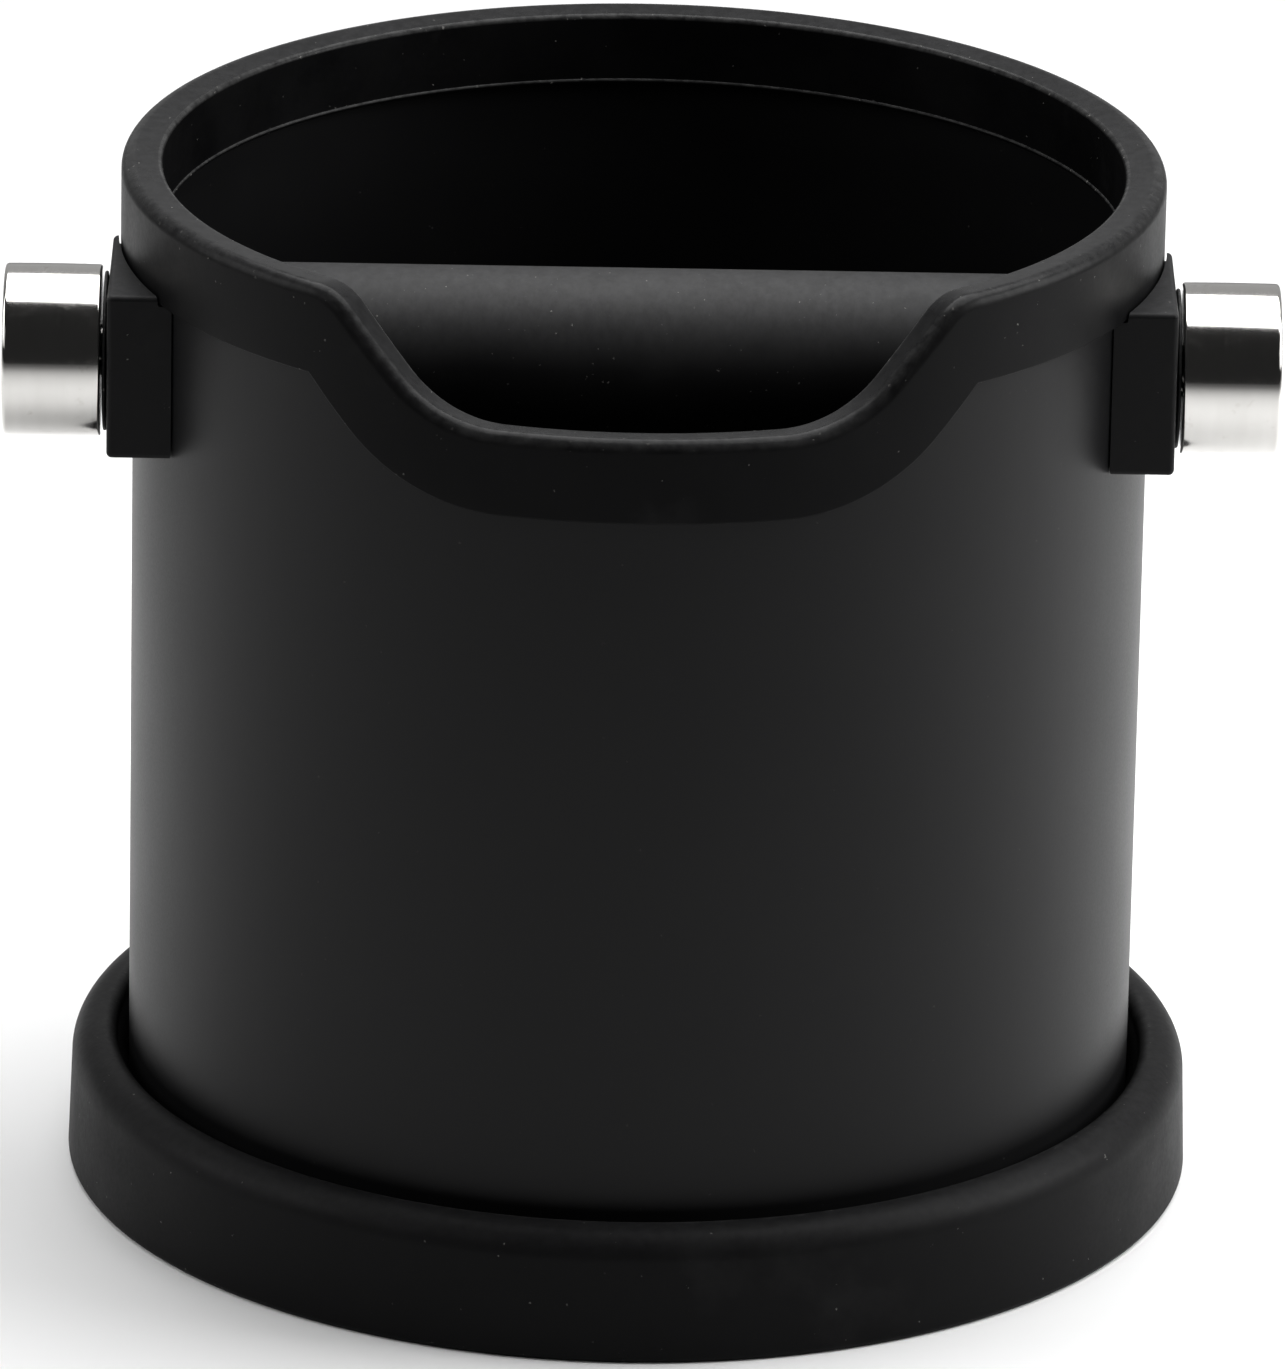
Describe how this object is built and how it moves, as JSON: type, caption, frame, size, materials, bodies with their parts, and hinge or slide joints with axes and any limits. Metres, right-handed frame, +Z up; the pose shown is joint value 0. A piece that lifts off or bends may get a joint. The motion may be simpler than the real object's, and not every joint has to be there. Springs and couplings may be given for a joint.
{
  "type": "espresso knock box",
  "caption": "Round steel coffee knock box with a scooped rubber rim, a rubber-covered bar held by two turned knobs, and a rubber boot underneath.",
  "frame": {"origin": "centre of the underside, on the surface the box stands on", "axes": "+Z up along the drum's axis, +X along the knock bar to the right-hand knob, -Y towards the scoop"},
  "size_m": [0.1866, 0.168, 0.1566],
  "materials": {
    "coated_steel": "fine satin black powder coat on steel sheet",
    "rubber": "moulded matt black rubber",
    "stainless": "finely turned stainless steel"
  },
  "bodies": {
    "drum": {"drum_shell": "coated_steel", "mounting_block_left": "rubber", "mounting_block_right": "rubber", "inner_seat_left": "rubber", "inner_seat_right": "rubber"},
    "trim": {"rim_trim": "rubber"},
    "boot": {"base_boot": "rubber"},
    "bar": {"bar_core": "stainless", "bar_sleeve": "rubber", "end_washer_left": "stainless", "end_washer_right": "stainless"},
    "washer_left": {"thrust_washer_left": "rubber"},
    "washer_right": {"thrust_washer_right": "rubber"},
    "knob_left": {"knob_left": "stainless", "knob_stud_left": "stainless"},
    "knob_right": {"knob_right": "stainless", "knob_stud_right": "stainless"}
  },
  "joints": [
    {"name": "trim_lift", "type": "slide", "parent": "drum", "child": "trim", "axis": [0, 0, 1], "range_m": [0, 0.03]},
    {"name": "boot_pull", "type": "slide", "parent": "drum", "child": "boot", "axis": [0, 0, -1], "range_m": [0, 0.025]},
    {"name": "bar_turn", "type": "hinge", "parent": "drum", "child": "bar", "pos_m": [0, -0.017, 0.1313], "axis": [1, 0, 0], "continuous": true},
    {"name": "knob_left_travel", "type": "slide", "parent": "bar", "child": "washer_left", "axis": [-1, 0, 0], "range_m": [0, 0.01251]},
    {"name": "knob_left_turn", "type": "hinge", "parent": "washer_left", "child": "knob_left", "pos_m": [-0.079, -0.017, 0.1313], "axis": [-1, 0, 0], "range_deg": [0, 3600]},
    {"name": "knob_right_travel", "type": "slide", "parent": "bar", "child": "washer_right", "axis": [1, 0, 0], "range_m": [0, 0.01251]},
    {"name": "knob_right_turn", "type": "hinge", "parent": "washer_right", "child": "knob_right", "pos_m": [0.079, -0.017, 0.1313], "axis": [1, 0, 0], "range_deg": [0, 3600]}
  ],
  "couplings": [
    {"joint": "knob_left_travel", "follows": "knob_left_turn", "m_per_rad": 0.00019894},
    {"joint": "knob_right_travel", "follows": "knob_right_turn", "m_per_rad": 0.00019894}
  ]
}
